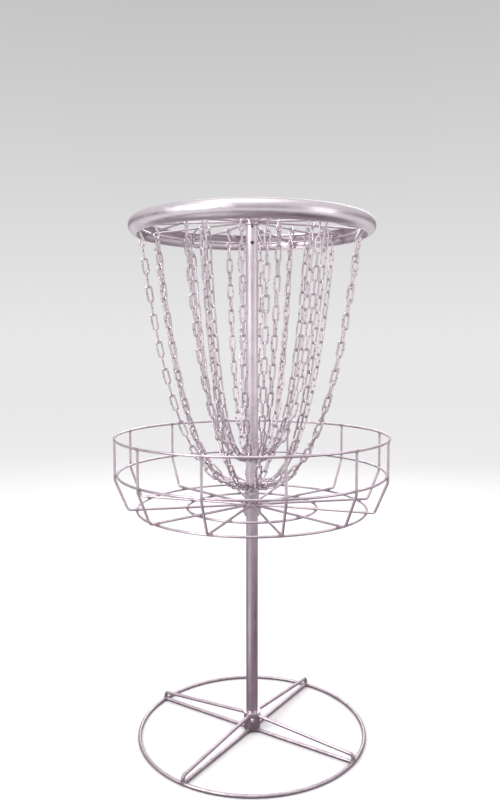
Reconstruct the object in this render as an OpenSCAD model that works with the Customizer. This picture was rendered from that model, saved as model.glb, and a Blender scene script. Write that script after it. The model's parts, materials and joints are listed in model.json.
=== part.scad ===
// Portable disc golf basket: a wire basket and a chain cage on a round pole with a ring stand.
// Origin: the middle of the stand, on the floor. +Z is up. Millimetres.

/* [Stand] */
// Radius of the floor ring, to the middle of its rod
base_ring_r = 307; // [280:1:340]
// Diameter of the stand's rods
base_rod_d = 9.5; // [8:0.5:12]
// Height of the socket's top
socket_top = 55; // [50:1:70]

/* [Pole] */
// Outer diameter of both pole tubes
pole_d = 32; // [28:0.5:36]
// Wall thickness of the pole tubes
pole_wall = 2; // [1.5:0.5:2.5]
// Height at which the two pole tubes meet
pole_split_z = 656; // [650:1:658]
// Height of the rack hub's underside
rack_hub_z = 1375; // [1370:1:1380]

/* [Basket] */
// Height of the rim's middle above the floor
rim_z = 820; // [780:1:860]
// Radius of the rim, to the middle of its wire
rim_r = 363; // [340:1:380]
// Diameter of the basket's wires
wire_d = 6.5; // [5:0.5:8]
// Height of the middle ring
middle_ring_z = 723; // [700:1:740]
// Radius of each rib's lower corner
corner_r = 329.5; // [318:1:340]
// Height of the floor wires, to their middle
floor_z = 633.5; // [628:0.5:636]
// Radius of the larger floor ring
floor_ring_r = 306.5; // [290:0.5:312]
// Radius of the smaller floor ring
inner_ring_r = 174; // [140:1:220]
// Number of ribs
ribs = 12; // [8:1:16]

/* [Top band] */
// Radius of the band's lips
band_lip_r = 298; // [290:1:305]
// Height of the band's middle
band_z = 1367; // [1360:1:1375]
// Outer radius of the band's half-round section
band_bulge = 23; // [18:1:26]
// Thickness of the band's sheet
band_sheet = 2; // [1:0.5:3]

/* [Chains] */
// Number of chains in each cage
chains = 12; // [8:1:12]
// Pitch of the links
link_pitch = 36.2; // [35.8:0.1:36.6]
// Diameter of the links' wire
link_wire = 4.8; // [4:0.2:5]
// Outer width of a link
link_w = 18; // [17:0.5:19]
// Links in a chain of the outer cage
outer_links = 20; // [20:2:20]
// Links in a chain of the inner cage
inner_links = 17; // [17:2:17]
// Turn of the chain rack on the pole, against the basket's ribs
rack_turn = -5; // [-10:1:10]

/* [Hidden] */

$fn = 64;

// Gap left at a weld or between welded wires, and running gap of a sliding fit
weld_gap = 0.05;
fit_gap = 0.1;

// How far a rod's straights lap into its bends, and how much thicker the bends are
bend_lap = 0.4;
bend_swell = 0.2;

pole_r = pole_d / 2;
screw_turn = -100;
legs = 4;
leg_turn = 45;

// Stand
base_z = base_rod_d / 2;
socket_r = 22;
socket_ring_r = 23.5;
socket_ring_h = 5;
socket_bottom = 6;
foot_r = 15.5;
foot_top = 12;
leg_top_z = 45;
leg_end_z = 24.5;
leg_bend_r = 10;
socket_screw_z = 38;

// Basket
rib_bend_r = 30;
corner_bend_r = 12;
hub_r = 25;
hub_low = 612;
hub_top = 640;
stop_r = 21;
stop_h = 8;

// Coupler between the pole tubes
coupler_r = 19;
coupler_low = 642;
plate_z = 684;
clamp_screw_z = 666.5;
joiner_low = 575;
joiner_top = 735;

// Plates that hold the lower ends of the chains
plate_r = 33;
plate_t = 4;
plate_hole_d = 10;
plate_hole_r = 25;
plate_rim_r = 31.5;
inner_plate_z = 758;

// Chain rack
rack_rod_d = 6;
rack_hub_r = 21;
rack_hub_h = 24;
rack_z = rack_hub_z + 9;
hanger_inner_r = 190;
hanger_outer_r = 315.7;
hanger_drop = 16;
knuckle_d = rack_rod_d + 0.4;
mitre_turn = atan2(hanger_outer_r * sin(180 / chains),
                   hanger_outer_r * cos(180 / chains) - hanger_inner_r);
mitre = rack_rod_d / 2 / sin(mitre_turn) + 0.1;
chain_ring_r = 290;
chain_ring_z = 1365;
spoke_hook_r = 178;

// Links and S-hooks
link_gap = 0.4;
link_l = link_pitch + 2 * link_wire + link_gap;
link_eye_r = (link_w - link_wire) / 2;
link_eye_x = link_l / 2 - link_w / 2;
hook_wire = 5;
hook_eye_r = 6.75;
hook_h = 40;
hook_seat = hook_eye_r - hook_wire / 2 - rack_rod_d / 2 - 0.3;
first_link = link_eye_x + 1;
hook_lift = link_eye_x + link_eye_r - link_wire / 2 - hook_wire / 2 - 0.3 + hook_eye_r;
hang_length = hook_lift + hook_h + hook_seat;

// ---- Shared shapes ----

function heading(a, b) = atan2(b[1] - a[1], b[0] - a[0]);
function wrapped(t) = t > 180 ? t - 360 : t < -180 ? t + 360 : t;
function rounded(t) = round(t * 100) / 100;
function turn_at(p, i) = rounded(wrapped(heading(p[i], p[i + 1]) - heading(p[i - 1], p[i])));
function bend_cut(p, r, i) = i == 0 || i == len(p) - 1 ? 0 : r[i] * tan(abs(turn_at(p, i)) / 2);

// A round rod from the origin along X: straight lengths with a turn of radius r[i] after each.
// The straights run a little way into the bends, which are a hair thicker.
module bent_rod(lengths, turns, r, d, i = 0, flip = 1) {
    before = i > 0 ? bend_lap : 0;
    after = i < len(turns) ? bend_lap : 0;
    translate([-before, 0, 0])
        rotate([0, 90, 0])
            cylinder(h = lengths[i] + before + after, d = d);
    if (i < len(turns)) {
        turn = abs(turns[i]);
        side = turns[i] * flip > 0 ? 1 : -1;
        mirror([0, side > 0 ? 0 : 1, 0])
            translate([lengths[i], r[i], 0]) {
                rotate([0, 0, -90])
                    rotate_extrude(angle = turn)
                        translate([r[i], 0])
                            circle(d = d + bend_swell);
                rotate([0, 0, turn])
                    translate([0, -r[i], 0])
                        bent_rod(lengths, turns, r, d, i + 1, flip * side);
            }
    }
}

// A round rod along the points p in the XY plane, with the bend radius r[i] at point i
module rod_along(p, r, d) {
    last = len(p) - 1;
    lengths = [for (i = [0 : last - 1])
        rounded(norm(p[i + 1] - p[i]) - bend_cut(p, r, i) - bend_cut(p, r, i + 1))];
    turns = [for (i = [1 : last - 1]) turn_at(p, i)];
    translate(p[0])
        rotate([0, 0, heading(p[0], p[1])])
            bent_rod(lengths, turns, [for (i = [1 : last - 1]) r[i]], d);
}

// Stands an XY drawing up so that X is the radius and Y the height, turned to an azimuth
module radial_plane(turn) {
    rotate([0, 0, turn]) rotate([90, 0, 0]) children();
}

module wire_ring(r, z, d) {
    translate([0, 0, z]) rotate_extrude() translate([r, 0]) circle(d = d);
}

module tube(outer, inner, low, top) {
    translate([0, 0, low])
        difference() {
            cylinder(h = top - low, r = outer);
            translate([0, 0, -1]) cylinder(h = top - low + 2, r = inner);
        }
}

module rod_between(a, b, d) {
    v = b - a;
    translate(a)
        rotate([0, acos(v[2] / norm(v)), atan2(v[1], v[0])])
            cylinder(h = norm(v), d = d);
}

function polar(r, turn, z) = [r * cos(turn), r * sin(turn), z];

// A radial hole, from the axis outwards
module radial_hole(z, d, reach) {
    translate([0, 0, z]) rotate([0, 90, screw_turn]) cylinder(h = reach, d = d);
}

// A screw that points at the pole, with a round head
module radial_screw(z, tip_r, head_low_r, shank_d, head_d, head_h) {
    translate([0, 0, z])
        rotate([0, 90, screw_turn]) {
            translate([0, 0, tip_r]) cylinder(h = head_low_r - tip_r + 0.5, d = shank_d);
            translate([0, 0, head_low_r]) cylinder(h = head_h - 1.5, d = head_d);
            translate([0, 0, head_low_r + head_h - 1.5]) cylinder(h = 1.5, d1 = head_d, d2 = head_d - 3);
        }
}

// ---- Stand ----

module base_ring() {
    color("lightgray") wire_ring(base_ring_r, base_z, base_rod_d);
}

// One leg: a rod along the floor and a rod that slopes down and bends onto the ring
module leg(turn) {
    inner = socket_r - 2;
    end_low = base_rod_d + weld_gap;
    radial_plane(turn) {
        translate([inner, base_z, 0])
            rotate([0, 90, 0])
                cylinder(h = base_ring_r - base_rod_d / 2 - weld_gap - inner, d = base_rod_d);
        rod_along([[inner, leg_top_z], [base_ring_r, leg_end_z], [base_ring_r, end_low]],
                  [0, leg_bend_r, 0], base_rod_d);
    }
}

module base_leg(n) {
    color("lightgray") difference() {
        leg(leg_turn + 360 / legs * (n - 1));
        translate([0, 0, -10]) cylinder(h = socket_top + 20, r = socket_r + weld_gap);
    }
}

module base_socket() {
    color("dimgray") difference() {
        tube(socket_r, pole_r + fit_gap, socket_bottom, socket_top - socket_ring_h);
        radial_hole(socket_screw_z, 6.2, socket_r + 5);
    }
}

module socket_ring() {
    color("lightgray")
        tube(socket_ring_r, pole_r + fit_gap, socket_top - socket_ring_h + weld_gap, socket_top);
}

module base_foot() {
    color("silver") {
        cylinder(h = socket_bottom, r1 = foot_r - 2, r2 = foot_r);
        translate([0, 0, socket_bottom]) cylinder(h = foot_top - socket_bottom, r = foot_r);
    }
}

module socket_screw() {
    color("silver") radial_screw(socket_screw_z, pole_r + 0.3, socket_r + 0.3, 6, 12, 6);
}

// ---- Pole ----

module lower_pole() {
    color("gray") tube(pole_r, pole_r - pole_wall, foot_top + 0.5, pole_split_z - 0.5);
}

module pole_joiner() {
    outer = pole_r - pole_wall - fit_gap;
    color("silver") tube(outer, outer - 3, joiner_low, joiner_top);
}

module basket_stop() {
    color("gray") tube(stop_r, pole_r + weld_gap, hub_low - stop_h - weld_gap, hub_low - weld_gap);
}

// ---- Basket ----

module basket_rim() {
    color("lightgray") wire_ring(rim_r, rim_z, wire_d);
}

module basket_middle_ring() {
    color("lightgray") wire_ring(rim_r - wire_d - weld_gap, middle_ring_z, wire_d);
}

module basket_floor_ring() {
    color("lightgray") wire_ring(floor_ring_r, floor_z - wire_d - weld_gap, wire_d);
}

module basket_inner_ring() {
    color("lightgray") wire_ring(inner_ring_r, floor_z - wire_d - weld_gap, wire_d);
}

// One rib: down from the rim, in to the lower corner and along the floor to the hub
module rib() {
    rod_along([[rim_r, rim_z - wire_d / 2 - weld_gap], [rim_r, middle_ring_z - 8],
               [corner_r, floor_z], [hub_r - 2, floor_z]],
              [0, rib_bend_r, corner_bend_r, 0], wire_d);
}

module basket_ribs() {
    color("lightgray") difference() {
        for (n = [0 : ribs - 1]) radial_plane(360 / ribs * n) rib();
        translate([0, 0, floor_z - 10]) cylinder(h = 20, r = hub_r + weld_gap);
    }
}

module basket_hub() {
    color("gray") tube(hub_r, pole_r + fit_gap, hub_low, hub_top);
}

// ---- Upper section ----

module pole_coupler() {
    color("lightgray") difference() {
        tube(coupler_r, pole_r + fit_gap, coupler_low, plate_z - weld_gap);
        radial_hole(clamp_screw_z, 8.2, coupler_r + 5);
    }
}

module clamp_screw() {
    color("silver")
        radial_screw(clamp_screw_z, pole_r - pole_wall + 0.2, coupler_r + 0.3, 8, 16, 9);
}

module upper_pole() {
    color("silver") difference() {
        tube(pole_r, pole_r - pole_wall, pole_split_z, rack_hub_z + rack_hub_h - 4);
        radial_hole(clamp_screw_z, 8.2, pole_r + 5);
        radial_hole(rack_hub_z - 47, 9, pole_r + 5);
        radial_hole(rack_hub_z - 5, 6, pole_r + 5);
    }
}

// A round plate on the pole with a hole for each chain's last link
module chain_plate(z, turn) {
    difference() {
        tube(plate_r, pole_r + weld_gap, z, z + plate_t);
        for (n = [0 : chains - 1])
            translate(polar(plate_hole_r, turn + 360 / chains * n, z - 1))
                cylinder(h = plate_t + 2, d = plate_hole_d);
    }
}

module outer_chain_plate() {
    color("gray") chain_plate(plate_z, rack_turn);
}

module inner_chain_plate() {
    color("gray") chain_plate(inner_plate_z, rack_turn + 180 / chains);
}

// ---- Chain rack ----

module rack_hub() {
    color("silver") tube(rack_hub_r, pole_r + weld_gap, rack_hub_z, rack_hub_z + rack_hub_h - 4);
}

module pole_cap() {
    plug_r = pole_r - pole_wall - weld_gap;
    top = rack_hub_z + rack_hub_h - 4 + weld_gap;
    color("dimgray") {
        translate([0, 0, top - 15]) cylinder(h = 16, r = plug_r);
        translate([0, 0, top]) cylinder(h = 2, r = rack_hub_r);
        translate([0, 0, top + 2]) cylinder(h = 2, r1 = rack_hub_r, r2 = rack_hub_r - 3);
    }
}

module rack_spokes() {
    first = rack_turn + 180 / chains;
    color("silver") difference() {
        for (n = [0 : chains - 1])
            rotate([0, 0, first + 360 / chains * n])
                translate([rack_hub_r - 2, 0, rack_z])
                    rotate([0, 90, 0])
                        cylinder(h = hanger_inner_r - mitre - weld_gap - rack_hub_r + 2,
                                 d = rack_rod_d);
        translate([0, 0, rack_z - 10]) cylinder(h = 20, r = rack_hub_r + weld_gap);
    }
}

// Bent wires, each from one spoke's end to the inside of the band and back to the next spoke
module hanger_wire() {
    step = 180 / chains;
    over = 5;
    color("silver")
        for (n = [0 : chains - 1])
            rotate([0, 0, rack_turn + 2 * step * n]) {
                apex = [hanger_outer_r, 0, rack_z - hanger_drop];
                translate(apex) sphere(d = knuckle_d);
                for (side = [-1, 1]) {
                    inner = polar(hanger_inner_r, side * step, rack_z);
                    beyond = inner + over * (inner - apex) / norm(inner - apex);
                    difference() {
                        rod_between(apex, beyond, rack_rod_d);
                        rotate([0, 0, side * step])
                            translate([0, side > 0 ? -weld_gap : weld_gap - 60, rack_z - 30])
                                cube([hanger_inner_r + 60, 60, 60]);
                    }
                }
            }
}

module chain_ring() {
    color("silver") wire_ring(chain_ring_r, chain_ring_z, rack_rod_d);
}

// The band: a half-round channel, open towards the pole
module top_band() {
    lip_angle = 85;
    color("silver")
        translate([0, 0, band_z])
            rotate_extrude()
                translate([band_lip_r, 0])
                    difference() {
                        circle(r = band_bulge);
                        circle(r = band_bulge - band_sheet);
                        rotate(lip_angle) translate([-60, 0]) square([120, 60]);
                        rotate(-lip_angle) translate([-60, -60]) square([120, 60]);
                        translate([-60, -30]) square([60, 60]);
                    }
}

// ---- Chains ----

// One long link in the XY plane, along X
module link() {
    for (side = [-1, 1]) {
        translate([side * link_eye_x, 0, 0])
            rotate([0, 0, -90 * side])
                rotate_extrude(angle = 180)
                    translate([link_eye_r, 0])
                        circle(d = link_wire);
        translate([-link_eye_x, side * link_eye_r, 0])
            rotate([0, 90, 0])
                cylinder(h = 2 * link_eye_x, d = link_wire);
    }
}

// An S-hook in the XY plane, along X: two open eyes and a slanted shank
module s_hook() {
    slant = asin(2 * hook_eye_r / hook_h);
    shank = rounded(hook_h * cos(slant));
    eye_turn = 280;
    rotate([0, 0, -slant])
        for (flip = [0, 180])
            rotate([0, 0, flip]) {
                rotate([0, 90, 0]) cylinder(h = shank / 2, d = hook_wire);
                translate([shank / 2, hook_eye_r, 0])
                    rotate([0, 0, -90])
                        rotate_extrude(angle = eye_turn)
                            translate([hook_eye_r, 0])
                                circle(d = hook_wire);
            }
}

function asinh(t) = ln(t + sqrt(t * t + 1));
function sinh(t) = (exp(t) - exp(-t)) / 2;
function atanh(t) = ln((1 + t) / (1 - t)) / 2;

// Catenary scale for a chain of length l over the span w and height h, by bisection
function catenary(w, h, l, low = 10, high = 2000, n = 40) =
    n == 0 ? (low + high) / 2 :
    let (mid = (low + high) / 2)
        2 * mid * sinh(w / (2 * mid)) > sqrt(l * l - h * h)
            ? catenary(w, h, l, mid, high, n - 1)
            : catenary(w, h, l, low, mid, n - 1);

// The catenary's point at the length s from its lowest point
function along(a, s) = [a * asinh(s / a), sqrt(a * a + s * s)];

// A chain of n links with an S-hook at its top, hanging between low = [r, z] and top = [r, z]
module chain(turn, n, low, top, first_roll) {
    length = first_link + link_pitch * (n - 1) + hang_length;
    w = top[0] - low[0];
    h = top[1] - low[1];
    a = catenary(w, h, length);
    s0 = a * sinh(atanh(h / length) - w / (2 * a));
    x0 = low[0] - a * asinh(s0 / a);
    z0 = low[1] - sqrt(a * a + s0 * s0);
    hook_s = length - hang_length + hook_lift + hook_h / 2;
    radial_plane(turn) {
        for (i = [0 : n - 1]) {
            s = s0 + first_link + link_pitch * (i - 0.5);
            p = along(a, s);
            q = along(a, s + link_pitch);
            translate([x0 + (p[0] + q[0]) / 2, z0 + (p[1] + q[1]) / 2, 0])
                rotate([0, 0, heading(p, q)])
                    rotate([i % 2 == 0 ? 0 : 90, 0, 0])
                        link();
        }
        s = s0 + hook_s;
        translate([x0 + a * asinh(s / a), z0 + sqrt(a * a + s * s), 0])
            rotate([0, 0, atan(s / a)])
                rotate([first_roll, 0, 0])
                    s_hook();
    }
}

module outer_chain(n) {
    color("silver")
        chain(rack_turn + 360 / chains * (n - 1), outer_links, [plate_rim_r, plate_z + plate_t / 2],
              [chain_ring_r, chain_ring_z], 0);
}

module inner_chain(n) {
    color("silver")
        chain(rack_turn + 360 / chains * (n - 0.5), inner_links,
              [plate_rim_r, inner_plate_z + plate_t / 2], [spoke_hook_r, rack_z], 90);
}

base_ring();
for (n = [1 : legs]) base_leg(n);
base_socket();
socket_ring();
base_foot();
socket_screw();
lower_pole();
pole_joiner();
basket_stop();
basket_rim();
basket_middle_ring();
basket_floor_ring();
basket_inner_ring();
basket_ribs();
basket_hub();
pole_coupler();
clamp_screw();
upper_pole();
outer_chain_plate();
inner_chain_plate();
rack_hub();
rack_spokes();
hanger_wire();
chain_ring();
top_band();
pole_cap();
for (n = [1 : chains]) outer_chain(n);
for (n = [1 : chains]) inner_chain(n);
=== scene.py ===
import json
import math
import random

import bmesh
import bpy
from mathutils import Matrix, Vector


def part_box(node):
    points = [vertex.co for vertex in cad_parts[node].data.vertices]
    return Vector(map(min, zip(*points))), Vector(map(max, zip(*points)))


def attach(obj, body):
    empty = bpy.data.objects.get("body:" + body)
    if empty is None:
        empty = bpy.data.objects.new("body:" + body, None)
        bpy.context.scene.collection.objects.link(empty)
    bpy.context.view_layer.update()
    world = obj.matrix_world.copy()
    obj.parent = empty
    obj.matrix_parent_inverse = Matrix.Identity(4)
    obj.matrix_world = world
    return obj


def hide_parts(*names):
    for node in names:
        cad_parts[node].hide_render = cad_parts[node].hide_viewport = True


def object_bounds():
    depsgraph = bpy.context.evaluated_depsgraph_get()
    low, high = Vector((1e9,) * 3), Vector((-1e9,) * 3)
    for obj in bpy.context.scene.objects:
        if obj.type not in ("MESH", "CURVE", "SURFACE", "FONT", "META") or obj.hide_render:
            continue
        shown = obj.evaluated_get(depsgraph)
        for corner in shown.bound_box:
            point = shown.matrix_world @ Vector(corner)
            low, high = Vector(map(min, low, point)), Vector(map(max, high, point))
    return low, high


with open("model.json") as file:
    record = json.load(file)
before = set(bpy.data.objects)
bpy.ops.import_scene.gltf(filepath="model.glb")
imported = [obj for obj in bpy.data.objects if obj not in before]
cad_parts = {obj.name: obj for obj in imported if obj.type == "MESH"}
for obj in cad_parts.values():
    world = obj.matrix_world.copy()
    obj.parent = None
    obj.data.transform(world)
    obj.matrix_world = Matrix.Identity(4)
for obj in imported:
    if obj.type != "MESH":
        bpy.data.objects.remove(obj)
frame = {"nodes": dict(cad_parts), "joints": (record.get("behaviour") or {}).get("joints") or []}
cad = frame["nodes"]
joints = {j["name"]: j for j in frame["joints"]}
cad_box = [list(c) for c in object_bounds()]
rng = random.Random(11)

# ---------------------------------------------------------------- camera, floor, light

VIEW_TURN = math.radians(-12.0)
CAMERA_DISTANCE = 1.956
CAMERA_HEIGHT = 1.079
CAMERA_DOWN = math.radians(4.77)

camera = bpy.data.objects.new("camera", bpy.data.cameras.new("camera"))
bpy.context.scene.collection.objects.link(camera)
camera.location = (
    CAMERA_DISTANCE * math.sin(VIEW_TURN),
    -CAMERA_DISTANCE * math.cos(VIEW_TURN),
    CAMERA_HEIGHT,
)
camera.rotation_euler = (math.pi / 2 - CAMERA_DOWN, 0, VIEW_TURN)
camera.data.lens = 33.107
camera.data.sensor_width = 36
camera.data.shift_x = -0.0025
camera.data.clip_end = 900
bpy.context.scene.view_settings.view_transform = "Standard"
bpy.context.scene.camera = camera


def look_at(obj, point):
    obj.rotation_euler = (Vector(point) - obj.location).to_track_quat("-Z", "Y").to_euler()


def soft_light(name, azimuth, distance, height, size, watts, color, target=(0, 0, 0.9)):
    data = bpy.data.lights.new(name, "AREA")
    data.shape = "RECTANGLE"
    data.size, data.size_y = size
    data.energy = watts
    data.color = color
    lamp = bpy.data.objects.new(name, data)
    bpy.context.scene.collection.objects.link(lamp)
    a = VIEW_TURN + math.radians(azimuth)
    lamp.location = (distance * math.sin(a), -distance * math.cos(a), height)
    look_at(lamp, target)


soft_light("key", -48, 3.0, 2.5, (1.5, 1.5), 61, (1.0, 0.99, 1.0))
soft_light("fill", 62, 3.4, 1.7, (1.0, 2.0), 17, (1.0, 0.95, 0.98))
soft_light("rim", 172, 3.2, 2.6, (2.0, 1.2), 30, (0.98, 0.97, 1.0))
soft_light("top", -20, 0.6, 3.4, (1.6, 1.6), 13, (1.0, 1.0, 1.0))


def stage_disc(name, radius, z, color, roughness, place=(0, 0)):
    bm = bmesh.new()
    bmesh.ops.create_circle(bm, cap_ends=True, radius=radius, segments=96)
    mesh = bpy.data.meshes.new(name)
    bm.to_mesh(mesh)
    bm.free()
    disc = bpy.data.objects.new(name, mesh)
    disc.location = (*place, z)
    bpy.context.scene.collection.objects.link(disc)
    mat = bpy.data.materials.new(name)
    mat.use_nodes = True
    shader = mat.node_tree.nodes["Principled BSDF"]
    shader.inputs["Base Color"].default_value = (*color, 1)
    shader.inputs["Roughness"].default_value = roughness
    shader.inputs["Specular IOR Level"].default_value = 0.1
    mesh.materials.append(mat)
    return disc


stage_disc("floor", 400, -0.0005, (0.95, 0.945, 0.945), 0.85)


def reflection_card(name, azimuth, distance, radius, z, color):
    """A card on the floor that only reflections see."""
    a = VIEW_TURN + math.radians(azimuth)
    place = (distance * math.sin(a), -distance * math.cos(a))
    disc = stage_disc(name, radius, z, color, 0.9, place)
    disc.visible_camera = False
    disc.visible_diffuse = False
    disc.visible_shadow = False
    disc.visible_transmission = False


# They give the metal dark undersides, and the pole a light left and a dark right side
reflection_card("card", 0, 0, 2.4, -0.0004, (0.24, 0.20, 0.225))
reflection_card("light_card", -52, 0.95, 0.56, -0.0002, (0.66, 0.63, 0.66))
reflection_card("dark_card", 66, 1.05, 0.50, -0.0002, (0.07, 0.055, 0.065))

world = bpy.data.worlds.new("studio")
bpy.context.scene.world = world
world.use_nodes = True
sky = world.node_tree
sky.nodes.clear()


def sky_layer(colors):
    """A backdrop whose colour changes with height; colors lists (height, (r, g, b))."""
    axes = sky.nodes.new("ShaderNodeSeparateXYZ")
    sky.links.new(sky.nodes.new("ShaderNodeTexCoord").outputs["Generated"], axes.inputs[0])
    ramp = sky.nodes.new("ShaderNodeValToRGB")
    sky.links.new(axes.outputs["Z"], ramp.inputs["Fac"])
    bar = ramp.color_ramp
    for i, (height, color) in enumerate(colors):
        stop = bar.elements[i] if i < 2 else bar.elements.new(height)
        stop.position = height
        stop.color = (*color, 1)
    light = sky.nodes.new("ShaderNodeBackground")
    sky.links.new(ramp.outputs["Color"], light.inputs["Color"])
    return light


def sky_switch(kind, off, on):
    """Shows on to one kind of ray and off to the others."""
    mix = sky.nodes.new("ShaderNodeMixShader")
    sky.links.new(sky.nodes.new("ShaderNodeLightPath").outputs[kind], mix.inputs["Fac"])
    sky.links.new(off.outputs[0], mix.inputs[1])
    sky.links.new(on.outputs[0], mix.inputs[2])
    return mix


even = sky_layer(((0.0, (0.86, 0.855, 0.86)), (1.0, (0.86, 0.855, 0.86))))
backdrop = sky_layer(((0.0, (0.813, 0.806, 0.811)), (0.5, (0.50, 0.49, 0.49))))
studio = sky_layer(
    (
        (0.0, (0.13, 0.105, 0.12)),
        (1.0, (0.95, 0.94, 0.95)),
        (0.12, (0.30, 0.265, 0.285)),
        (0.38, (0.72, 0.68, 0.70)),
    )
)
shown = sky_switch("Is Camera Ray", sky_switch("Is Glossy Ray", even, studio), backdrop)
sky.links.new(shown.outputs[0], sky.nodes.new("ShaderNodeOutputWorld").inputs["Surface"])

# ---------------------------------------------------------------- materials


class Graph:
    """Small helper that adds and links shader nodes of one material."""

    def __init__(self, name):
        self.material = bpy.data.materials.new(name)
        self.material.use_nodes = True
        self.tree = self.material.node_tree
        self.shader = self.tree.nodes["Principled BSDF"]

    def add(self, kind, **inputs):
        node = self.tree.nodes.new(kind)
        for key, value in inputs.items():
            socket = node.inputs[key.replace("_", " ")]
            if isinstance(value, bpy.types.NodeSocket):
                self.tree.links.new(value, socket)
            else:
                socket.default_value = value
        return node

    def math(self, operation, a, b=None, c=None):
        node = self.tree.nodes.new("ShaderNodeMath")
        node.operation = operation
        for i, value in enumerate((a, b, c)):
            if isinstance(value, bpy.types.NodeSocket):
                self.tree.links.new(value, node.inputs[i])
            elif value is not None:
                node.inputs[i].default_value = value
        return node.outputs[0]

    def between(self, value, low, high, to_low=0.0, to_high=1.0, smooth=True):
        node = self.tree.nodes.new("ShaderNodeMapRange")
        node.interpolation_type = "SMOOTHSTEP" if smooth else "LINEAR"
        self.tree.links.new(value, node.inputs["Value"])
        node.inputs["From Min"].default_value = low
        node.inputs["From Max"].default_value = high
        node.inputs["To Min"].default_value = to_low
        node.inputs["To Max"].default_value = to_high
        return node.outputs["Result"]

    def blend(self, factor, a, b, mode="MIX"):
        node = self.tree.nodes.new("ShaderNodeMix")
        node.data_type = "RGBA"
        node.blend_type = mode
        for socket, value in ((node.inputs[0], factor), (node.inputs[6], a), (node.inputs[7], b)):
            if isinstance(value, bpy.types.NodeSocket):
                self.tree.links.new(value, socket)
            else:
                socket.default_value = value
        return node.outputs[2]

    def coords(self, scale=(1, 1, 1)):
        coord = self.add("ShaderNodeTexCoord").outputs["Object"]
        return self.add("ShaderNodeMapping", Vector=coord, Scale=scale).outputs[0]

    def noise(self, scale, detail=3.0, rough=0.55, stretch=(1, 1, 1), distortion=0.0):
        return self.add(
            "ShaderNodeTexNoise",
            Vector=self.coords(stretch),
            Scale=scale,
            Detail=detail,
            Roughness=rough,
            Distortion=distortion,
        ).outputs["Fac"]

    def axes(self):
        coord = self.add("ShaderNodeTexCoord").outputs["Object"]
        return self.add("ShaderNodeSeparateXYZ", Vector=coord).outputs

    def radius(self):
        x, y, _ = self.axes()
        squares = self.math("MULTIPLY", x, x), self.math("MULTIPLY", y, y)
        return self.math("SQRT", self.math("ADD", *squares))

    def bump(self, height, distance, strength=1.0, normal=None):
        node = self.add("ShaderNodeBump", Height=height, Distance=distance, Strength=strength)
        if normal is not None:
            self.tree.links.new(normal, node.inputs["Normal"])
        return node.outputs[0]


def near_spokes(g, offset_deg, every_deg, reach_m):
    """1 close to the azimuths offset + k * every, falling to 0 at reach metres to each side."""
    x, y, _ = g.axes()
    angle = g.math("ARCTAN2", y, x)
    half = math.radians(every_deg) / 2
    shifted = g.math("ADD", angle, math.radians(-offset_deg) + 8 * math.pi)
    away = g.math("PINGPONG", shifted, half)
    return g.between(g.math("MULTIPLY", away, g.radius()), 0.0, reach_m, 1.0, 0.0)


def near_value(g, value, centre, reach):
    away = g.math("ABSOLUTE", g.math("SUBTRACT", value, centre))
    return g.between(away, 0.0, reach, 1.0, 0.0)


def zinc(name, light, dark, rough, drawn=False, spangle=0.5, heat=None, grime_and_shade=None, scuff=0.5):
    """Plated steel: mottled zinc, faint crystals, fine lines or pits, rubbed places and heat marks."""
    g = Graph(name)
    mottle = g.between(g.noise(22, 5, 0.6), 0.30, 0.72)
    crystals = g.add("ShaderNodeTexVoronoi", Vector=g.coords(), Scale=240.0)
    crystal = g.add("ShaderNodeSeparateColor", Color=crystals.outputs["Color"]).outputs[0]
    color = g.blend(mottle, (*light, 1), (*dark, 1))
    shade = tuple(0.5 * (a + b) * 0.84 for a, b in zip(light, dark))
    color = g.blend(g.math("MULTIPLY", crystal, 0.22 * spangle), color, (*shade, 1))
    if drawn:
        lines, depth = g.noise(1.0, 4, 0.6, stretch=(1100, 1100, 7)), 0.000010
    else:
        lines, depth = g.noise(560, 3, 0.6), 0.000020
    color = g.blend(g.between(lines, 0.35, 0.75, 0.0, 0.14), color, (*shade, 1))
    marks = g.between(g.noise(110, 7, 0.74, distortion=1.8), 0.62, 0.70, 0.0, scuff)
    bright = tuple(min(1.0, a * 1.12) for a in light)
    color = g.blend(marks, color, (*bright, 1))
    finish = g.between(g.noise(40, 4, 0.6), 0.25, 0.8, rough - 0.05, rough + 0.08)
    finish = g.math("ADD", finish, g.between(crystal, 0.0, 1.0, -0.03 * spangle, 0.04 * spangle))
    finish = g.math("SUBTRACT", finish, g.math("MULTIPLY", marks, 0.07))
    if heat is not None:
        hot = g.math("MULTIPLY", heat(g), g.between(g.noise(170, 3), 0.2, 0.7, 0.45, 1.0))
        color = g.blend(g.math("MULTIPLY", hot, 0.55), color, (0.30, 0.235, 0.22, 1))
        finish = g.math("ADD", finish, g.math("MULTIPLY", hot, 0.14))
    # Darker, rougher patches from the given mask: real dirt at the ground, and on the upper pole painted shade of
    # the tray and chains with strike marks.
    if grime_and_shade is not None:
        dirt_and_shade = g.math("MULTIPLY", grime_and_shade(g), g.between(g.noise(60, 6, 0.7), 0.40, 0.68))
        color = g.blend(g.math("MULTIPLY", dirt_and_shade, 0.5), color, (0.27, 0.23, 0.21, 1))
        finish = g.math("ADD", finish, g.math("MULTIPLY", dirt_and_shade, 0.22))
    normal = g.bump(lines, depth)
    normal = g.bump(marks, 0.00001, 0.6, normal)
    s = g.shader
    g.tree.links.new(color, s.inputs["Base Color"])
    g.tree.links.new(finish, s.inputs["Roughness"])
    g.tree.links.new(normal, s.inputs["Normal"])
    s.inputs["Metallic"].default_value = 1.0
    return g.material


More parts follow.
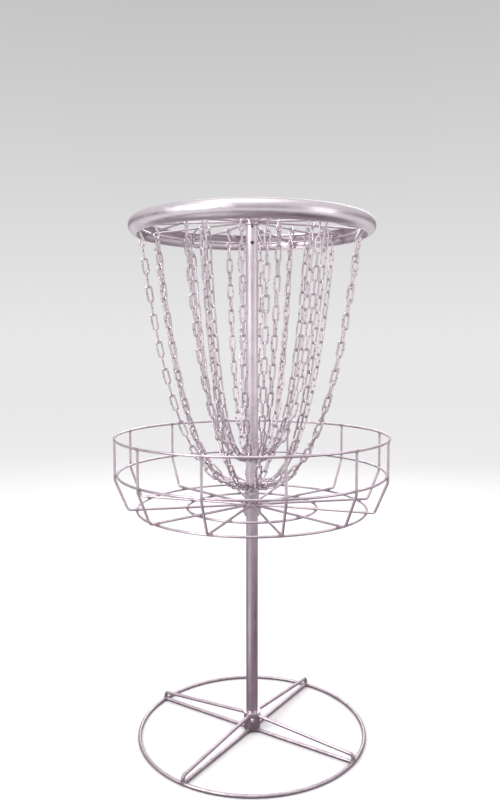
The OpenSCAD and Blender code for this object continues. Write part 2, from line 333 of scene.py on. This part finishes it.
def plastic(name, base, rough):
    """Moulded plastic: fine grain, painted shade in the hollows of the grain, and rubbed paler patches."""
    g = Graph(name)
    cells = g.add("ShaderNodeTexVoronoi", Vector=g.coords(), Scale=900.0).outputs["Distance"]
    worn = g.between(g.noise(70, 5, 0.65), 0.5, 0.72)
    pale = tuple(c + 0.10 for c in base)
    color = g.blend(worn, (*base, 1), (*pale, 1))
    # Darker in the hollows of the grain: painted shade.
    hollow_shade = tuple(c * 0.6 for c in base)
    color = g.blend(g.between(cells, 0.0, 0.5, 0.35, 0.0), color, (*hollow_shade, 1))
    s = g.shader
    g.tree.links.new(color, s.inputs["Base Color"])
    g.tree.links.new(g.between(worn, 0, 1, rough, rough - 0.15), s.inputs["Roughness"])
    g.tree.links.new(g.bump(cells, 0.00008), s.inputs["Normal"])
    return g.material


def ground_grime(g):
    return g.between(g.axes()[2], 0.0, 0.02, 1.0, 0.0)


def strikes_and_tray_shade(g):
    """Darker and rougher round 0.80 m, inside the tray and among the chains: painted shade of the tray and chains,
    together with the marks that chains and discs leave where they gather.
    """
    return near_value(g, g.axes()[2], 0.80, 0.16)


LIGHT = (0.74, 0.655, 0.71)
DARK = (0.57, 0.495, 0.545)


def azimuth_of(joint):
    x, y, _ = joints[joint]["pos_m"]
    return math.degrees(math.atan2(y, x))


RIB_AT, RACK_AT, CHAIN_AT = 0.0, azimuth_of("inner_swing_1"), azimuth_of("outer_swing_1")


def ring_of(node):
    """Centre radius, height and wire radius of a wire ring."""
    low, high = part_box(node)
    wire = (high.z - low.z) / 2
    return high.x - wire, (high.z + low.z) / 2, wire


rim_r, rim_z, wire = ring_of("basket_rim")
mid_r, mid_z, _ = ring_of("basket_middle_ring")
floor_r, floor_z, _ = ring_of("basket_floor_ring")
inner_r, inner_z, _ = ring_of("basket_inner_ring")
base_r, base_z, base_wire = ring_of("base_ring")
hang_r, hang_z, hang_wire = ring_of("chain_ring")
hub_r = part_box("basket_hub")[1].x
rib_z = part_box("basket_ribs")[0].z + wire
socket_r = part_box("base_socket")[1].x
socket_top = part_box("base_socket")[1].z
leg_top_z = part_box("leg_1")[1].z - base_wire
rack_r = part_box("rack_hub")[1].x
spoke_z = sum(c.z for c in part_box("rack_spokes")) / 2


def reach(node):
    return max(math.hypot(v.co.x, v.co.y) for v in cad[node].data.vertices)


def tray_ring_heat(g):
    return near_spokes(g, RIB_AT, 30, 0.013)


def rib_heat(g):
    z, r = g.axes()[2], g.radius()
    spots = near_value(g, z, rim_z, 0.014)
    for value, centre in ((z, mid_z), (r, hub_r)):
        spots = g.math("MAXIMUM", spots, near_value(g, value, centre, 0.012))
    low = g.between(z, rib_z + 0.01, rib_z + 0.03, 1.0, 0.0)
    for centre in (floor_r, inner_r):
        spots = g.math("MAXIMUM", spots, g.math("MULTIPLY", low, near_value(g, r, centre, 0.012)))
    return spots


def leg_heat(g):
    r = g.radius()
    return g.math("MAXIMUM", near_value(g, r, base_r, 0.018), near_value(g, r, socket_r, 0.014))


def base_ring_heat(g):
    return near_spokes(g, 45, 90, 0.02)


def rack_heat(g):
    r = g.radius()
    spots = near_value(g, r, rack_r, 0.012)
    for centre in (reach("rack_spokes"), reach("hanger_wire")):
        spots = g.math("MAXIMUM", spots, near_value(g, r, centre, 0.012))
    return spots


paint = {
    "tray_ring": zinc("zinc_tray_ring", LIGHT, DARK, 0.34, heat=tray_ring_heat),
    "ribs": zinc("zinc_ribs", LIGHT, DARK, 0.34, heat=rib_heat),
    "hub": zinc("zinc_hub", (0.62, 0.55, 0.60), (0.47, 0.41, 0.45), 0.36, drawn=True),
    "base_ring": zinc("zinc_base_ring", LIGHT, DARK, 0.36, heat=base_ring_heat, grime_and_shade=ground_grime, scuff=0.7),
    "legs": zinc("zinc_legs", LIGHT, DARK, 0.36, heat=leg_heat, grime_and_shade=ground_grime, scuff=0.7),
    "socket": zinc("dark_socket", (0.52, 0.44, 0.485), (0.36, 0.305, 0.335), 0.46, drawn=True, scuff=0.6),
    "lower_pole": zinc("drawn_lower_pole", (0.64, 0.55, 0.61), (0.54, 0.46, 0.515), 0.34, drawn=True, scuff=0.25),
    # The upper pole's darker band round 0.80 m is painted shade of the tray and chains, with strike marks.
    "upper_pole": zinc("drawn_upper_pole", (0.88, 0.81, 0.85), (0.77, 0.69, 0.74), 0.47, drawn=True, grime_and_shade=strikes_and_tray_shade),
    "collar": zinc("turned_collar", (0.82, 0.74, 0.785), (0.64, 0.57, 0.61), 0.32, drawn=True),
    "plate": zinc("dark_plate", (0.36, 0.31, 0.34), (0.25, 0.21, 0.235), 0.38),
    "band": zinc("rolled_band", (0.74, 0.685, 0.72), (0.665, 0.61, 0.65), 0.34, spangle=0.5, scuff=0.2),
    "rack": zinc("zinc_rack", LIGHT, DARK, 0.34, heat=rack_heat),
    "chain": zinc("zinc_chain", (0.84, 0.775, 0.81), (0.62, 0.55, 0.59), 0.30, spangle=0.6, scuff=0.8),
    "bolt": zinc("bright_bolt", (0.86, 0.80, 0.84), (0.70, 0.63, 0.67), 0.24, spangle=0.2),
    "weld": zinc("weld_bead", (0.56, 0.48, 0.50), (0.36, 0.30, 0.31), 0.42, spangle=0.2, scuff=0.8),
    "cap": plastic("cap_plastic", (0.045, 0.04, 0.045), 0.55),
}

PAINTED = {
    "tray_ring": ("basket_rim", "basket_middle_ring", "basket_floor_ring", "basket_inner_ring"),
    "ribs": ("basket_ribs",),
    # pole_coupler takes the darker hub finish, which paints the shade that falls on it inside the tray.
    "hub": ("basket_hub", "basket_stop", "pole_coupler"),
    "base_ring": ("base_ring",),
    "legs": ("leg_1", "leg_2", "leg_3", "leg_4"),
    "socket": ("base_socket",),
    "lower_pole": ("lower_pole",),
    "upper_pole": ("upper_pole",),
    "collar": ("socket_ring", "rack_hub", "base_foot", "pole_joiner"),
    "plate": ("outer_chain_plate", "inner_chain_plate"),
    "band": ("top_band",),
    "rack": ("rack_spokes", "hanger_wire", "chain_ring"),
    "bolt": ("clamp_screw", "socket_screw"),
    "cap": ("pole_cap",),
}
finish_of = {node: key for key, group in PAINTED.items() for node in group}
for name, obj in cad.items():
    obj.data.materials.clear()
    obj.data.materials.append(paint[finish_of.get(name, "chain")])

# ---------------------------------------------------------------- added detail pieces


SKIN = 0.00005
FLOOR_Z = cad_box[0][2] + SKIN
EDGE_R = cad_box[1][0] - SKIN


def inside(p):
    """The point, moved in where it would pass the floor or the rim's outer edge."""
    r = math.hypot(p[0], p[1])
    k = min(1.0, EDGE_R / r) if r > 0 else 1.0
    return Vector((p[0] * k, p[1] * k, max(p[2], FLOOR_Z)))


class Shape:
    """Collects closed lofted forms in one mesh."""

    def __init__(self):
        self.points, self.faces = [], []

    def loft(self, rows, ring=False):
        """Joins closed loops of points. The ends are closed, or joined to each other for a ring."""
        first, n, count = len(self.points), len(rows[0]), len(rows)
        for row in rows:
            self.points.extend(row)
        for i in range(count if ring else count - 1):
            a, b = first + i * n, first + ((i + 1) % count) * n
            for k in range(n):
                m = (k + 1) % n
                self.faces.append((a + k, a + m, b + m, b + k))
        if not ring:
            last = first + (count - 1) * n
            for row, start, flip in ((rows[0], first, True), (rows[-1], last, False)):
                centre = sum(row, Vector()) / n
                self.points.append(centre)
                tip = len(self.points) - 1
                for k in range(n):
                    m = (k + 1) % n
                    corner = (start + m, start + k) if flip else (start + k, start + m)
                    self.faces.append((*corner, tip))

    def make(self, name, body, material, smooth=True):
        mesh = bpy.data.meshes.new(name)
        mesh.from_pydata([tuple(inside(p)) for p in self.points], [], self.faces)
        bm = bmesh.new()
        bm.from_mesh(mesh)
        bmesh.ops.recalc_face_normals(bm, faces=bm.faces)
        bm.to_mesh(mesh)
        bm.free()
        for face in mesh.polygons:
            face.use_smooth = smooth
        mesh.materials.append(material)
        obj = bpy.data.objects.new(name, mesh)
        bpy.context.scene.collection.objects.link(obj)
        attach(obj, body)
        return obj


def basis(axis):
    axis = Vector(axis).normalized()
    u = axis.orthogonal().normalized()
    return u, axis.cross(u), axis


def nugget(shape, centre, axis, radius, thick):
    """The squashed, slightly lumpy lens that a spot weld leaves between two wires."""
    u, v, w = basis(axis)
    lumps = [1 + rng.uniform(-0.10, 0.10) for _ in range(14)]
    rows = []
    for lat in (-68, -45, -20, 0, 20, 45, 68):
        t = math.radians(lat)
        rows.append(
            [
                Vector(centre)
                + (u * math.cos(a) + v * math.sin(a)) * radius * math.cos(t) * lumps[k]
                + w * thick * math.sin(t) * (0.9 + 0.2 * lumps[-k - 1])
                for k, a in ((k, 2 * math.pi * k / 14) for k in range(14))
            ]
        )
    shape.loft(rows)


def fillet(shape, centre, axis, rod, size):
    """A rippled bead that runs round the end of a rod where it meets another part."""
    u, v, w = basis(axis)
    steps, rows = 40, []
    phase = rng.uniform(0, 6.28)
    for k in range(steps):
        a = 2 * math.pi * k / steps
        swell = size * (0.90 + 0.12 * abs(math.sin(5 * a + phase)) + rng.uniform(-0.03, 0.03))
        out = u * math.cos(a) + v * math.sin(a)
        middle = Vector(centre) + out * (rod + 0.15 * size)
        rows.append(
            [
                middle + out * swell * math.cos(b) + w * swell * 0.9 * math.sin(b)
                for b in (2 * math.pi * m / 9 for m in range(9))
            ]
        )
    shape.loft(rows, ring=True)


def collar(shape, centre, axis, rod, length, swell, n=14):
    """The short upset barrel that a butt weld leaves on a wire."""
    u, v, w = basis(axis)
    lumps = [1 + rng.uniform(-0.02, 0.02) for _ in range(n)]
    rows = []
    for t in (-1, -0.8, -0.45, 0, 0.45, 0.8, 1):
        r = rod * 0.97 + swell * math.sqrt(max(0.0, 1 - t * t * 0.96))
        rows.append(
            [
                Vector(centre)
                + w * t * length / 2
                + (u * math.cos(a) + v * math.sin(a)) * r * lumps[k]
                for k, a in ((k, 2 * math.pi * k / n) for k in range(n))
            ]
        )
    shape.loft(rows)


def at(radius, degrees, z):
    a = math.radians(degrees)
    return Vector((radius * math.cos(a), radius * math.sin(a), z))


def outward(degrees):
    return at(1, degrees, 0)


UP = Vector((0, 0, 1))

tray = Shape()
for k in range(12):
    turn = RIB_AT + 30 * k
    fillet(tray, at(rim_r, turn, rim_z - wire * 0.93), UP, wire, 0.0013)
    nugget(tray, at(mid_r + wire, turn, mid_z), outward(turn), 0.0034, 0.0014)
    nugget(tray, at(floor_r, turn, floor_z + wire), UP, 0.0034, 0.0014)
    nugget(tray, at(inner_r, turn, inner_z + wire), UP, 0.0034, 0.0014)
    fillet(tray, at(hub_r + 0.0002, turn, rib_z), outward(turn), wire, 0.0014)
# Each ring's butt weld, at its own azimuth
RING_SEAMS = (
    (rim_r, rim_z, 96),
    (mid_r, mid_z, 171),
    (floor_r, floor_z, 81),
    (inner_r, inner_z, 200),
)
for r, z, turn in RING_SEAMS:
    collar(tray, at(r, turn, z), UP.cross(outward(turn)), wire, 0.006, 0.0005)
tray.make("tray_welds", "basket", paint["weld"])

ground = Shape()
for k in range(4):
    turn = 45 + 90 * k
    slope = Vector((math.cos(math.radians(turn)), math.sin(math.radians(turn)), -0.075))
    fillet(ground, at(base_r - base_wire * 0.93, turn, base_z), outward(turn), base_wire, 0.0019)
    fillet(ground, at(base_r, turn, base_z + base_wire * 0.93), UP, base_wire, 0.0019)
    fillet(ground, at(socket_r + 0.0003, turn, base_z), outward(turn), base_wire, 0.0019)
    fillet(ground, at(socket_r + 0.0003, turn, leg_top_z - 0.0002), slope, base_wire, 0.0019)
collar(ground, at(base_r, 12, base_z), UP.cross(outward(12)), base_wire, 0.008, 0.0006)
ground.make("stand_welds", "stand", paint["weld"])

rack = Shape()
spoke_end, apex_r = reach("rack_spokes"), reach("hanger_wire")
knuckle = 0.0032
BEND_BEYOND_SPOKE = 0.0053  # from a spoke's end to the inner bend of the hanger wires
for k in range(12):
    spoke, chain_turn = RACK_AT + 30 * k, CHAIN_AT + 30 * k
    fillet(rack, at(rack_r + 0.0002, spoke, spoke_z), outward(spoke), hang_wire, 0.0013)
    fillet(rack, at(spoke_end, spoke, spoke_z), outward(spoke), hang_wire * 0.9, 0.0013)
    apex = at(apex_r - knuckle, chain_turn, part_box("hanger_wire")[0].z + knuckle)
    nugget(rack, at(apex_r, chain_turn, apex.z), outward(chain_turn), 0.0042, 0.0016)
    for side in (-1, 1):
        inner = at(spoke_end + BEND_BEYOND_SPOKE, chain_turn + 15 * side, spoke_z)
        low, high = 0.0, 1.0
        for _ in range(30):
            t = (low + high) / 2
            p = inner.lerp(apex, t)
            low, high = (t, high) if math.hypot(p.x, p.y) < hang_r else (low, t)
        nugget(rack, Vector((p.x, p.y, (p.z + hang_z) / 2)), UP, 0.0033, 0.0014)
collar(rack, at(hang_r, 100, hang_z), UP.cross(outward(100)), hang_wire, 0.006, 0.0005)
rack.make("rack_welds", "chain_rack", paint["weld"])

# Round beads that join the plates and the rack's hub to the pole
pole_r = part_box("upper_pole")[1].x
poles = Shape()
for node, size in (("outer_chain_plate", 0.0016), ("inner_chain_plate", 0.0016), ("rack_hub", 0.0015)):
    low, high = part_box(node)
    fillet(poles, Vector((0, 0, high.z)), UP, pole_r, size)
    if node != "outer_chain_plate":
        fillet(poles, Vector((0, 0, low.z)), UP, pole_r, size)
poles.make("pole_welds", "chain_rack", paint["weld"])
stop = Shape()
fillet(stop, Vector((0, 0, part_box("basket_stop")[0].z)), UP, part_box("lower_pole")[1].x, 0.0015)
stop.make("stop_weld", "pole", paint["weld"])


def islands(obj):
    """Vertex positions of each loose part of a mesh."""
    mesh = obj.data
    parent = list(range(len(mesh.vertices)))

    def root(i):
        while parent[i] != i:
            parent[i] = parent[parent[i]]
            i = parent[i]
        return i

    where = {}
    for v in mesh.vertices:
        key = tuple(round(c, 6) for c in v.co)
        if key in where:
            parent[root(v.index)] = root(where[key])
        else:
            where[key] = v.index
    for e in mesh.edges:
        a, b = root(e.vertices[0]), root(e.vertices[1])
        if a != b:
            parent[a] = b
    groups = {}
    for v in mesh.vertices:
        groups.setdefault(root(v.index), []).append(v.co)
    return list(groups.values())


def link_frame(points):
    """Middle, length, long axis, wide axis and half width of a chain link."""
    low = Vector(min(p[i] for p in points) for i in range(3))
    high = Vector(max(p[i] for p in points) for i in range(3))
    middle = (low + high) / 2
    far = max(points, key=lambda p: (p - middle).length)
    back = max(points, key=lambda p: (p - far).length)
    middle = (far + back) / 2
    long_axis = (far - back).normalized()
    side = max(points, key=lambda p: ((p - middle) - long_axis * (p - middle).dot(long_axis)).length)
    across = (side - middle) - long_axis * (side - middle).dot(long_axis)
    return middle, (far - back).length, long_axis, across.normalized(), across.length


LINK_WIRE = 0.0024
LONGEST_LINK = 0.052
for name, obj in sorted(cad.items()):
    if finish_of.get(name, "chain") != "chain":
        continue
    seams = Shape()
    for points in islands(obj):
        middle, length, along, across, half = link_frame(points)
        if length > LONGEST_LINK:
            continue
        side = rng.choice((-1, 1))
        spot = middle + across * side * (half - LINK_WIRE) + along * rng.uniform(-0.001, 0.001)
        collar(seams, spot, along, LINK_WIRE, 0.0042, 0.00038, n=10)
    if seams.points:
        seams.make(name + "_link_welds", name, paint["weld"])

# The band's lapped seam at the back, with six domed rivets
band_low, band_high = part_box("top_band")
band_z = (band_low.z + band_high.z) / 2
bulge = (band_high.z - band_low.z) / 2
lip_r = band_high.x - bulge
SEAM_AT = 70.0
seam = Shape()
half_wide, thick = 0.013, 0.0008
inner, outer = bulge * 1.0003, bulge + thick
profile = (
    (-1, inner),
    (-1, outer - 0.0003),
    (-0.96, outer),
    (0.96, outer),
    (1, outer - 0.0003),
    (1, inner),
)
rows = []
for i in range(25):
    t = math.radians(-72 + 6 * i)
    row = []
    for side, level in profile:
        turn = math.degrees(side * half_wide / band_high.x) + SEAM_AT
        row.append(at(lip_r + level * math.cos(t), turn, band_z + level * math.sin(t)))
    rows.append(row)
seam.loft(rows)
seam.make("band_seam", "chain_rack", paint["band"], smooth=False)
RIVET_DOME = (
    (0.0026, -0.0004),
    (0.0026, 0.0003),
    (0.0022, 0.0009),
    (0.0014, 0.0013),
    (0.0006, 0.00145),
)
rivets = Shape()
for lift in (-40, 0, 40):
    t = math.radians(lift)
    for side in (-1, 1):
        turn = SEAM_AT + math.degrees(side * 0.0075 / band_high.x)
        out = outward(turn) * math.cos(t) + UP * math.sin(t)
        spot = at(lip_r, turn, band_z) + out * (bulge + thick)
        u, v, w = basis(out)
        rows = []
        for r, h in RIVET_DOME:
            angles = (2 * math.pi * m / 20 for m in range(20))
            rows.append([spot + w * h + (u * math.cos(a) + v * math.sin(a)) * r for a in angles])
        rivets.loft(rows)
rivets.make("band_rivets", "chain_rack", paint["bolt"])


def bolt(name, node, joint, shank_r, washer_r, washer_t):
    """A round-headed socket bolt with a washer and a threaded shank, in place of the plain one."""
    origin, axis = Vector(joints[joint]["pos_m"]), Vector(joints[joint]["axis"]).normalized()
    u, v, w = basis(axis)
    spots = [p.co - origin for p in cad[node].data.vertices]
    along = [p.dot(axis) for p in spots]
    wide = [(p - axis * p.dot(axis)).length for p in spots]
    tip, top, head_r = min(along), max(along), max(wide)
    head_low = min(a for a, r in zip(along, wide) if r > head_r * 0.95)

    def loop(r, h, n=36, six=False):
        points = []
        for m in range(n):
            a = 2 * math.pi * m / n
            k = r / math.cos((a + math.pi / 6) % (math.pi / 3) - math.pi / 6) if six else r
            points.append(origin + w * h + (u * math.cos(a) + v * math.sin(a)) * k)
        return points

    shape = Shape()
    rows = [loop(shank_r * 0.7, tip), loop(shank_r * 0.92, tip + 0.0006)]
    turns = int((head_low - tip - 0.0012) / 0.00125)
    for i in range(turns):
        h = tip + 0.0008 + i * 0.00125
        rows += [loop(shank_r * 0.88, h), loop(shank_r * 0.99, h + 0.00045), loop(shank_r * 0.99, h + 0.0007)]
    neck = head_low + washer_t
    rows += [loop(shank_r * 0.9, neck - 0.0002), loop(head_r * 0.94, neck), loop(head_r, neck + 0.0004)]
    height = top - neck
    dome = (
        (1.0, 0.30),
        (0.985, 0.46),
        (0.94, 0.64),
        (0.86, 0.80),
        (0.74, 0.92),
        (0.60, 0.985),
        (0.52, 1.0),
    )
    rows += [loop(head_r * r, neck + height * h) for r, h in dome]
    socket = head_r * 0.40
    rows += [loop(socket * 1.05, top - 0.0001, six=True), loop(socket, top - 0.0005, six=True)]
    rows += [loop(socket, top - height * 0.5, six=True), loop(socket * 0.3, top - height * 0.58)]
    shape.loft(rows)
    rows = []
    for r, h in ((washer_r, 0.0), (washer_r, washer_t * 0.7), (washer_r - 0.0003, washer_t)):
        rows.append(loop(r, head_low + h))
    rows += [loop(shank_r * 1.08, head_low + washer_t), loop(shank_r * 1.08, head_low)]
    shape.loft(rows, ring=True)
    piece = shape.make(name, node, paint["bolt"], smooth=False)
    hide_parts(node)
    return piece


bolt("clamp_bolt", "clamp_screw", "clamp_screw_turn", 0.004, 0.0078, 0.0012)
bolt("socket_bolt", "socket_screw", "socket_screw_turn", 0.003, 0.0058, 0.0009)
